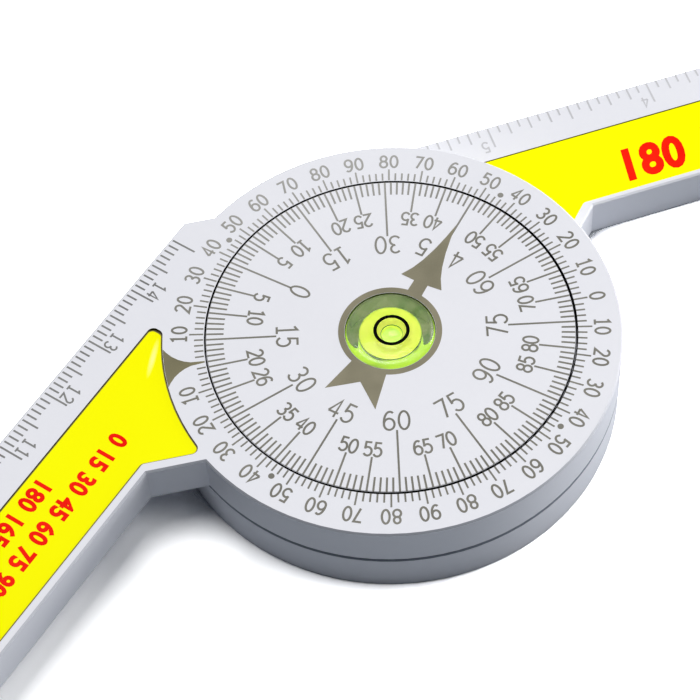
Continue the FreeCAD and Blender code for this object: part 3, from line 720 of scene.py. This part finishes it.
def spin_round(bm, edges, steps):
    """Spins edges a full turn about the pivot and turns the faces outwards."""
    bmesh.ops.spin(
        bm,
        geom=[*edges, *bm.verts],
        cent=(0, 0, 0),
        axis=(0, 0, 1),
        angle=2 * math.pi,
        steps=steps,
        use_merge=True,
    )
    bmesh.ops.remove_doubles(bm, verts=bm.verts, dist=SAME_PLACE)
    bmesh.ops.recalc_face_normals(bm, faces=bm.faces)


# A ring that isn't shifted.
CENTRED = (0.0, 0.0, 0.0)


def add_ring(name, radii, level, material, slot_name, shift=CENTRED, steps=128, body="lower_leaf"):
    """A flat ring between two radii in millimetres, spun from its section and then shifted."""
    bm = bmesh.new()
    inner, outer = (radius * MM for radius in radii)
    corners = [(inner, -1), (outer, -1), (outer, 1), (inner, 1)]
    section = [bm.verts.new((radius, 0, level + side * INK_HEIGHT)) for radius, side in corners]
    edges = [bm.edges.new((section[index - 1], section[index])) for index in range(len(section))]
    spin_round(bm, edges, steps)
    bmesh.ops.translate(bm, vec=shift, verts=bm.verts)
    add_piece(name, from_bmesh(name, bm), material, body)


# The ring's scale, printed on the upper arm. Radii and sizes are in millimetres.

RING_STEP = 2
RING_MAJOR = 10
RING_LINE = 0.25
RING_LINES_START = 25.85
RING_SHORT_END = 27.1
RING_LONG_END = 27.8
DOT_PLACE = 27.75
DOT_RADIUS = 0.43
RING_DIGIT_RADIUS = 29.2
RING_DIGIT_HEIGHT = 2.35
RING_DIGIT_ADVANCE = 1.5
DIGIT_STROKE = 0.31

# A black ring of painted shade along the dial's seam, which lies a little off the centre.
SEAM_SHADE = (25.67, 25.79)
SEAM_SHADE_SHIFT = Vector((0.05, -0.07, 0)) * MM


def upright_place(degrees, radius):
    """A place on a radius, its +Y pointing away from the pivot."""
    return turned(degrees - 90) @ Matrix.Translation((0, radius * MM, 0))


def inverted_place(degrees, radius):
    """A place on a radius, its +Y pointing at the pivot."""
    return turned(degrees + 90) @ Matrix.Translation((0, -radius * MM, 0))


def print_ring_scale():
    """The ring's lines, numbers from 0 to 90 and back, and dots, and painted shade at its seam."""
    bm = bmesh.new()
    for degrees in range(0, 360, RING_STEP):
        end = RING_SHORT_END if degrees % RING_MAJOR else RING_LONG_END
        add_radial_line(bm, RING_ZERO + degrees, RING_LINES_START, end, RING_LINE, UPPER_FACE)
    outwards = Matrix.Translation((DOT_PLACE * MM, 0, UPPER_FACE))
    for degrees in range(45, 360, 90):
        bmesh.ops.create_cone(
            bm,
            cap_ends=True,
            segments=28,
            radius1=DOT_RADIUS * MM,
            radius2=DOT_RADIUS * MM,
            depth=2 * INK_HEIGHT,
            matrix=turned(RING_ZERO + degrees) @ outwards,
        )
    mesh = from_bmesh("ring_scale_lines", bm)
    add_piece("ring_scale_lines", mesh, SCALE_INK, "upper_leaf")
    strokes = []
    height, advance = RING_DIGIT_HEIGHT * MM, RING_DIGIT_ADVANCE * MM
    for degrees in range(0, 360, RING_MAJOR):
        if degrees == 180:
            continue
        value = min(degrees % 180, 180 - degrees % 180)
        place = upright_place(RING_ZERO + degrees, RING_DIGIT_RADIUS)
        strokes += number_strokes(str(value), place, height, DIGIT_STROKE * MM, advance)
    mesh = strokes_mesh("ring_scale_numbers", strokes, DIGIT_STROKE * MM, UPPER_FACE)
    add_piece("ring_scale_numbers", mesh, SCALE_INK, "upper_leaf")
    # Painted shade: a black ring over the seam's gap.
    add_ring(
        "ring_seam_shade",
        SEAM_SHADE,
        UPPER_FACE,
        BLACK_INK_AND_SHADE,
        "ink_black",
        shift=SEAM_SHADE_SHIFT,
        body="upper_leaf",
    )


# Half the pointer's width in degrees at each radius in millimetres.
POINTER_SIDES = (
    (31.45, 5.7),
    (31.0, 4.6),
    (30.3, 3.2),
    (29.5, 2.05),
    (28.7, 1.2),
    (27.8, 0.6),
    (25.85, 0.25),
)


def print_pointer():
    """The pointer on the ring, from the label's round edge to the line opposite zero."""
    centre = RING_ZERO + 180
    outline = []
    for radius, half in POINTER_SIDES:
        outline.append((radius, centre - half))
    for radius, half in reversed(POINTER_SIDES):
        outline.append((radius, centre + half))
    radius, half = POINTER_SIDES[0]
    outline += [(radius, centre + half * share) for share in (0.6, 0.2, -0.2, -0.6)]
    points = [
        (radius * MM * math.cos(math.radians(angle)), radius * MM * math.sin(math.radians(angle)))
        for radius, angle in outline
    ]
    mesh = filled_shape("ring_pointer", points, UPPER_FACE + FILM_LIFT)
    add_piece("ring_pointer", mesh, POINTER_INK, "upper_leaf")


# The dial's scale. A line is (every so many units, inner radius), and radii and sizes are in
# millimetres.

DIAL_UNITS = 180
DIAL_DEGREES = 2.0
DIAL_EDGE = 25.45
DIAL_LINES = ((15, 16.0), (5, 20.3), (1, 23.3))
DIAL_LINE = 0.28
SMALL_RADIUS = 19.1
SMALL_HEIGHT = 2.4
SMALL_ADVANCE = 1.32
LARGE_RADIUS = 14.5
LARGE_HEIGHT = 3.15
LARGE_ADVANCE = 2.02

# One number is printed wrong, and the arrow's head parts the figures of another.
MISPRINTS = {25: "26"}
PARTED_UNIT = 135
PARTED_ADVANCE = 5.2

# The print lies a little off the dial's centre, in millimetres.
PRINT_SHIFT = Vector((0.26, -0.09, 0))


def print_dial_scale():
    """The dial's lines of one, five and fifteen units, with numbers from 0 to 90 on both sides."""
    bm = bmesh.new()
    strokes = []
    shift = Matrix.Translation(PRINT_SHIFT * MM)
    for unit in range(DIAL_UNITS):
        degrees = DIAL_ZERO + unit * DIAL_DEGREES
        inner = next(radius for every, radius in DIAL_LINES if unit % every == 0)
        outer = DIAL_EDGE - PRINT_SHIFT.dot(turned(degrees) @ Vector((1, 0, 0)))
        middle = (inner + outer) / 2 * MM
        place = shift @ turned(degrees) @ Matrix.Translation((middle, 0, 0))
        add_bar(bm, place, (outer - inner) * MM, DIAL_LINE * MM, DIAL_TOP)
        if unit % 5:
            continue
        value = min(unit, DIAL_UNITS - unit)
        number = MISPRINTS.get(unit, str(value))
        if value % 15:
            radius, height, advance = SMALL_RADIUS, SMALL_HEIGHT, SMALL_ADVANCE
        else:
            radius, height, advance = LARGE_RADIUS, LARGE_HEIGHT, LARGE_ADVANCE
        if unit == PARTED_UNIT:
            advance = PARTED_ADVANCE
        place = shift @ inverted_place(degrees, radius)
        strokes += number_strokes(number, place, height * MM, DIGIT_STROKE * MM, advance * MM)
    mesh = from_bmesh("dial_scale_lines", bm)
    add_piece("dial_scale_lines", mesh, SCALE_INK, "lower_leaf")
    mesh = strokes_mesh("dial_scale_numbers", strokes, DIGIT_STROKE * MM, DIAL_TOP)
    add_piece("dial_scale_numbers", mesh, SCALE_INK, "lower_leaf")


# The arrow's outline on one side, as (along, across) in millimetres, from tip to neck and tail.
ARROW_HEAD_SIDE = [
    (20.0, 0.0),
    (17.5, 0.37),
    (15.0, 0.85),
    (12.6, 1.5),
    (10.8, 2.2),
    (9.1, 3.15),
    (8.95, 1.05),
    (6.7, 1.1),
]
ARROW_TAIL_SIDE = [(-6.3, 2.55), (-12.2, 3.87)]
ARROW_NOTCH = (-9.2, 0.0)
ARROW_OFFSET = -0.2

# The printed ring round the vial, as radii in millimetres.
VIAL_RING = (6.33, 7.18)


def print_arrow():
    """The arrow through the vial's printed ring: a head with concave sides, and a swallow tail."""
    turn = turned(ARROW_ANGLE)

    def side(points, sign):
        return [turn @ Vector((x * MM, (sign * y + ARROW_OFFSET) * MM, 0)) for x, y in points]

    head = side(ARROW_HEAD_SIDE, 1) + side(ARROW_HEAD_SIDE[:0:-1], -1)
    tail = side(ARROW_TAIL_SIDE, 1) + side([ARROW_NOTCH], 1) + side(ARROW_TAIL_SIDE[::-1], -1)
    for name, points in (("dial_arrow_head", head), ("dial_arrow_tail", tail)):
        mesh = filled_shape(name, [(point.x, point.y) for point in points], DIAL_TOP + FILM_LIFT)
        add_piece(name, mesh, OLIVE_INK, "lower_leaf")
    add_ring("dial_vial_ring", VIAL_RING, DIAL_TOP + 2 * FILM_LIFT, OLIVE_INK, "ink_olive")


# The arms' rulers. Both begin at the arms' ends. The upper one is in centimetres, the lower
# one in inches. A line is (every so many marks, length), and all lengths are in millimetres.

RULER_ZERO = 153.4
RULER_LINE = 0.27
RULER_STROKE = 0.26
RULER_DIGIT_HEIGHT = 2.1
RULER_DIGIT_ADVANCE = 1.6
UPPER_RULER = {
    "mark": 1.0,
    "marks": 150,
    "lines": ((10, 3.8), (5, 2.65), (1, 1.65)),
    "start": 34.55,
    "numbers": 14,
    "number_across": 31.42,
    "number_shift": 1.71,
}
LOWER_RULER = {
    "mark": 25.4 / 16,
    "marks": 94,
    "lines": ((16, 3.7), (8, 2.6), (2, 2.1), (1, 1.3)),
    "start": 33.9,
    "numbers": 5,
    "number_across": 30.6,
    "number_shift": 1.35,
}


def print_ruler(name, ruler, angle, side, level, ink, body):
    """An arm's ruler along its outer edge, with its numbers on the disc's side of their lines."""
    bm = bmesh.new()
    strokes = []
    turn = turned(angle)
    height, advance = RULER_DIGIT_HEIGHT * MM, RULER_DIGIT_ADVANCE * MM
    for mark in range(1, ruler["marks"] + 1):
        length = next(length for every, length in ruler["lines"] if mark % every == 0)
        along, across = RULER_ZERO - mark * ruler["mark"], side * (ruler["start"] - length / 2)
        place = turn @ Matrix.Translation((along * MM, across * MM, 0)) @ turned(90)
        add_bar(bm, place, length * MM, RULER_LINE * MM, level)
        number, rest = divmod(mark, ruler["lines"][0][0])
        if rest or number > ruler["numbers"]:
            continue
        along -= ruler["number_shift"]
        shift = Matrix.Translation((along * MM, side * ruler["number_across"] * MM, 0))
        place = turn @ shift @ turned(180 if side > 0 else 0)
        strokes += number_strokes(str(number), place, height, RULER_STROKE * MM, advance)
    add_piece(name + "_lines", from_bmesh(name + "_lines", bm), ink, body)
    mesh = strokes_mesh(name + "_numbers", strokes, RULER_STROKE * MM, level)
    add_piece(name + "_numbers", mesh, ink, body)


# The labels' red figures: each line, its first corner along and across the arm, its height
# and how much it slants.

LOWER_LABEL_LINES = (("180 135 90 45 0", 41.8, 18.0, 6.1, 0.16),)
UPPER_LABEL_LINES = (
    ("0 15 30 45 60 75 90 105 120 135 150", 33.3, -22.9, 3.0, 0.0),
    ("180 165 150 135 120 105 90 75 60 45", 44.3, -27.2, 3.0, 0.0),
)

# A dark line of painted shade along the upper label's edge.
OUTLINE_WIDTH = 0.13 * MM


def print_label(name, lines, angle, level, body):
    """A label's lines of bold red figures, which read outwards along the arm."""
    for number, (figures, along, across, height, slant) in enumerate(lines):
        place = turned(angle) @ Matrix.Translation((along * MM, across * MM, 0))
        piece_name = f"{name}_{number}"
        mesh = bold_figures(piece_name, figures, place, height * MM, slant, level)
        add_piece(piece_name, mesh, RED_INK, body)


# The vial. Its half sections are (radius, height), and all its sizes are in millimetres.

VIAL_STEPS = 128
SMOOTH_ANGLE = math.radians(32)
HOLLOW_DOME = (4.3, 12.5, 12.6)
SHELL_FOOT = [(4.3, 6.6), (6.2, 6.6)]
SHELL_TOP = [(6.2, 13.6), (6.13, 13.88), (5.94, 14.1), (5.66, 14.24), (5.3, 14.3), (0, 14.3)]
FLUID_DOME = (4.33, 12.53, 12.63)
FLUID_FOOT = [(0, 8.03), (4.33, 8.03)]
BUBBLE = [(1.52, 12.62), (1.5, 12.3), (1.38, 12.1), (1.1, 11.95), (0.6, 11.85), (0, 11.82)]

# The crown ends at this radius, outside the bubble. What lies within the second radius and over
# the height is the bubble's.
CROWN_END = 1.9
BUBBLE_REACH = 1.6
BUBBLE_FLOOR = 9.0

# The levels of the rings: on the bubble's edge and on the fluid's shoulder, lines of painted
# shade a trace over the fluid; on the vial's top; and a trace over the vial's foot.
BUBBLE_LEVEL = 12.64 * MM
SHOULDER_LEVEL = 12.56 * MM
TARGET_LEVEL = VIAL_TOP - INK_HEIGHT + 0.004 * MM
SEAL_LEVEL = VIAL_BOTTOM + 0.03 * MM

# Each ring's name, radii, level, finish, slot, shift and steps.
VIAL_RINGS = (
    ("vial_bubble_rim", (1.42, 1.56), BUBBLE_LEVEL, BUBBLE_RIM, "vial_liquid", BUBBLE_SHIFT, 64),
    ("vial_shoulder_rim", (4.18, 4.33), SHOULDER_LEVEL, SHOULDER_RIM, "vial_liquid", CENTRED, 96),
    ("vial_target_ring", (2.02, 2.52), TARGET_LEVEL, BLACK_INK_AND_SHADE, "ink_black", BUBBLE_SHIFT, 96),
    ("vial_seal", (4.2, 6.19), SEAL_LEVEL, SEAL, "plug_plastic", CENTRED, 96),
)


def spun_piece(name, profile, material, replaced):
    """A round piece spun from half its section, smooth but for its sharp edges."""
    bm = bmesh.new()
    verts = [bm.verts.new((radius * MM, 0, height * MM)) for radius, height in profile]
    edges = [bm.edges.new(pair) for pair in zip(verts, verts[1:])]
    spin_round(bm, edges, VIAL_STEPS)
    mesh = from_bmesh(name, bm)
    mesh.shade_smooth()
    mesh.set_sharp_from_angle(angle=SMOOTH_ANGLE)
    piece = add_piece(name, mesh, material, "lower_leaf")
    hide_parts(replaced)
    return piece


def dome(radius, shoulder, apex, steps=10):
    """Points up a shallow dome, from its shoulder to the axis."""
    rise = apex - shoulder
    sphere = (radius**2 + rise**2) / (2 * rise)
    reach = math.asin(radius / sphere)
    angles = [reach * (steps - step) / steps for step in range(steps + 1)]
    return [(sphere * math.sin(angle), apex - sphere * (1 - math.cos(angle))) for angle in angles]


def make_vial():
    """The clear shell with its hollow, the fluid with its bubble, and the rings on and in them."""
    hollow = dome(*HOLLOW_DOME)[::-1]
    spun_piece("vial_shell", hollow + SHELL_FOOT + SHELL_TOP, ACRYLIC, "vial_body")
    crown = [point for point in dome(*FLUID_DOME) if point[0] > CROWN_END]
    fluid = FLUID_FOOT + crown + BUBBLE
    piece = spun_piece("vial_fluid", fluid, FLUID, "vial_liquid")
    for vertex in piece.data.vertices:
        if vertex.co.xy.length < BUBBLE_REACH * MM and vertex.co.z > BUBBLE_FLOOR * MM:
            vertex.co += BUBBLE_SHIFT
    for ring in VIAL_RINGS:
        add_ring(*ring)


# Floor, light and camera

# The table's bare tones on the left and on the right and where they turn, brighter on the right
# as painted light; its painted shade in a corner; and the tone by which it lights the part.
TABLE_LEFT = rgb(2.05, 2.05, 2.05)
TABLE_RIGHT = rgb(5.0, 5.0, 5.0)
TABLE_TURN = (-27 * MM, -9 * MM)
TABLE_CORNER_SHADE = rgb(0.3, 0.32, 0.35)
TABLE_CAST = rgb(0.52, 0.56, 0.61)
TABLE_SIZE = 3.0

# A corner is where less of the sky within this distance is open than these shares.
CORNER_DISTANCE = 12 * MM
CORNER_OPENNESS = (0.43, 0.53)


def make_floor():
    """A pale table top that reads white, brightened towards the right as painted light and
    darkened in corners as painted shade.
    """
    finish = Finish("pale_table")
    paths = finish.node("ShaderNodeLightPath", output="Is Camera Ray")
    distance = {"Distance": CORNER_DISTANCE}
    open_sky = finish.node("ShaderNodeAmbientOcclusion", {"samples": 12}, distance, output="AO")
    bare = finish.blend(finish.along("X", *TABLE_TURN), TABLE_LEFT, TABLE_RIGHT)
    tone = finish.blend(finish.step(open_sky, *CORNER_OPENNESS), TABLE_CORNER_SHADE, bare)
    seen = finish.node("ShaderNodeBsdfDiffuse", None, {"Color": tone})
    cast = finish.node("ShaderNodeBsdfDiffuse", None, {"Color": TABLE_CAST})
    mixed = finish.node("ShaderNodeMixShader", None, {0: paths, 1: cast, 2: seen})
    material = finish.surface(mixed)
    bm = bmesh.new()
    bmesh.ops.create_grid(bm, x_segments=1, y_segments=1, size=TABLE_SIZE)
    mesh = from_bmesh("table_top", bm)
    mesh.materials.append(material)
    floor = bpy.data.objects.new("table_top", mesh)
    bpy.context.scene.collection.objects.link(floor)


# Each lamp's direction from the dial in degrees, its distance and width, and how bright a white
# card that faces it gets.
SOFTBOXES = (
    ("top_softbox", 95, 76, 1.3, 0.76, 0.735),
    ("right_softbox", 14, 32, 1.0, 0.5, 0.36),
    ("fill_softbox", -30, 60, 1.0, 0.5, 0.14),
    ("low_softbox", -2, 5, 0.6, 0.2, 0.57),
)

# The room's light.
ROOM_COLOUR = rgb(0.8, 0.9, 1.05)
ROOM_LEVEL = 0.01


def add_softbox(name, azimuth, elevation, distance, width, level):
    """A round white lamp aimed at the dial."""
    lamp = bpy.data.lights.new(name, "AREA")
    lamp.shape = "DISK"
    lamp.size = width
    lamp.energy = level * math.pi**2 * distance**2
    softbox = bpy.data.objects.new(name, lamp)
    across, up = math.radians(azimuth), math.radians(elevation)
    back = Vector((math.cos(across) * math.cos(up), math.sin(across) * math.cos(up), math.sin(up)))
    softbox.location = back * distance
    softbox.rotation_euler = back.to_track_quat("Z", "Y").to_euler()
    softbox.visible_camera = False
    bpy.context.scene.collection.objects.link(softbox)


def light_scene():
    """A large softbox above, three at the right, and a dim room that looks white."""
    for softbox in SOFTBOXES:
        add_softbox(*softbox)
    world = bpy.data.worlds.new("studio")
    bpy.context.scene.world = world
    world.use_nodes = True
    tree = world.node_tree
    tree.nodes.clear()
    paths = tree.nodes.new("ShaderNodeLightPath")
    dim = tree.nodes.new("ShaderNodeBackground")
    dim.inputs["Color"].default_value = ROOM_COLOUR
    dim.inputs["Strength"].default_value = ROOM_LEVEL
    white = tree.nodes.new("ShaderNodeBackground")
    white.inputs["Color"].default_value = rgb(1, 1, 1)
    mix = tree.nodes.new("ShaderNodeMixShader")
    output = tree.nodes.new("ShaderNodeOutputWorld")
    tree.links.new(paths.outputs["Is Camera Ray"], mix.inputs[0])
    tree.links.new(dim.outputs[0], mix.inputs[1])
    tree.links.new(white.outputs[0], mix.inputs[2])
    tree.links.new(mix.outputs[0], output.inputs["Surface"])


# The photograph's view: the camera's place and directions, and its lens for a 36 mm sensor.
CAMERA_PLACE = Vector((-0.048887, -0.170637, 0.283842))
CAMERA_FORWARD = Vector((0.132777, 0.527075, -0.839382))
CAMERA_UP = Vector((0.280630, 0.792234, 0.541860))
CAMERA_LENS = 120.471


def add_camera():
    """The photograph's view of the dial, from its measured place and directions."""
    camera = bpy.data.cameras.new("camera")
    camera.sensor_width = 36.0
    camera.lens = CAMERA_LENS
    camera.clip_start = 0.01
    camera.clip_end = 10.0
    right = CAMERA_FORWARD.cross(CAMERA_UP)
    turn = Matrix((right, CAMERA_UP, -CAMERA_FORWARD)).transposed().to_4x4()
    viewer = bpy.data.objects.new("camera", camera)
    viewer.matrix_world = Matrix.Translation(CAMERA_PLACE) @ turn
    bpy.context.scene.collection.objects.link(viewer)
    bpy.context.scene.camera = viewer


# The work, in order

# How deep the labels' recesses and the dial's ledge lie, how thick the dial's rim is, and how
# close to a level a face still counts as below it.
RECESS_DEPTH = 0.45 * MM
LEDGE_DEPTH = 2.8 * MM
RIM_THICKNESS = 2.0 * MM
NEAR = 0.01 * MM
RECESS_FLOOR = UPPER_FACE - RECESS_DEPTH - NEAR

for node_name, node_finish in NODE_FINISHES.items():
    finish_node(node_name, node_finish)
shade_faces("dial_plate", DIAL_TOP - RIM_THICKNESS, DIAL_TOP - NEAR, SEAM, is_seam_wall)
shade_faces("dial_plate", VIAL_BOTTOM, DIAL_TOP - NEAR, VIAL_SEAT_SHADE, is_seat_wall)
shade_faces("upper_arm", UPPER_FACE - LEDGE_DEPTH, RECESS_FLOOR, SEAM, is_seam_wall)
shade_faces("upper_arm", RECESS_FLOOR, UPPER_FACE - NEAR, UPPER_RECESS)
shade_faces("upper_arm", RECESS_FLOOR, UPPER_FACE, EDGE, is_near_edge)
shade_faces("lower_arm", LOWER_FACE - RECESS_DEPTH - NEAR, LOWER_FACE - NEAR, LOWER_RECESS)
shade_faces("lower_arm", LOWER_FACE - RECESS_DEPTH, LOWER_FACE, LEAF_SEAM, is_leaf_seam)
print_ring_scale()
print_pointer()
print_dial_scale()
print_arrow()
print_ruler("lower_ruler", LOWER_RULER, LOWER_ARM_ANGLE, 1, LOWER_FACE, FAINT_INK, "lower_leaf")
print_ruler("upper_ruler", UPPER_RULER, UPPER_ARM_ANGLE, -1, UPPER_FACE, RULER_INK, "upper_leaf")
print_label(
    "lower_label_numerals", LOWER_LABEL_LINES, LOWER_ARM_ANGLE, LOWER_LABEL_TOP, "lower_leaf"
)
print_label(
    "upper_label_numerals", UPPER_LABEL_LINES, UPPER_ARM_ANGLE, UPPER_LABEL_TOP, "upper_leaf"
)
print_outline(
    "upper_label_outline", "upper_arm_label", OUTLINE_WIDTH, UPPER_LABEL_TOP, "upper_leaf"
)
make_vial()
make_floor()
light_scene()
add_camera()
bpy.context.scene.view_settings.view_transform = "Standard"
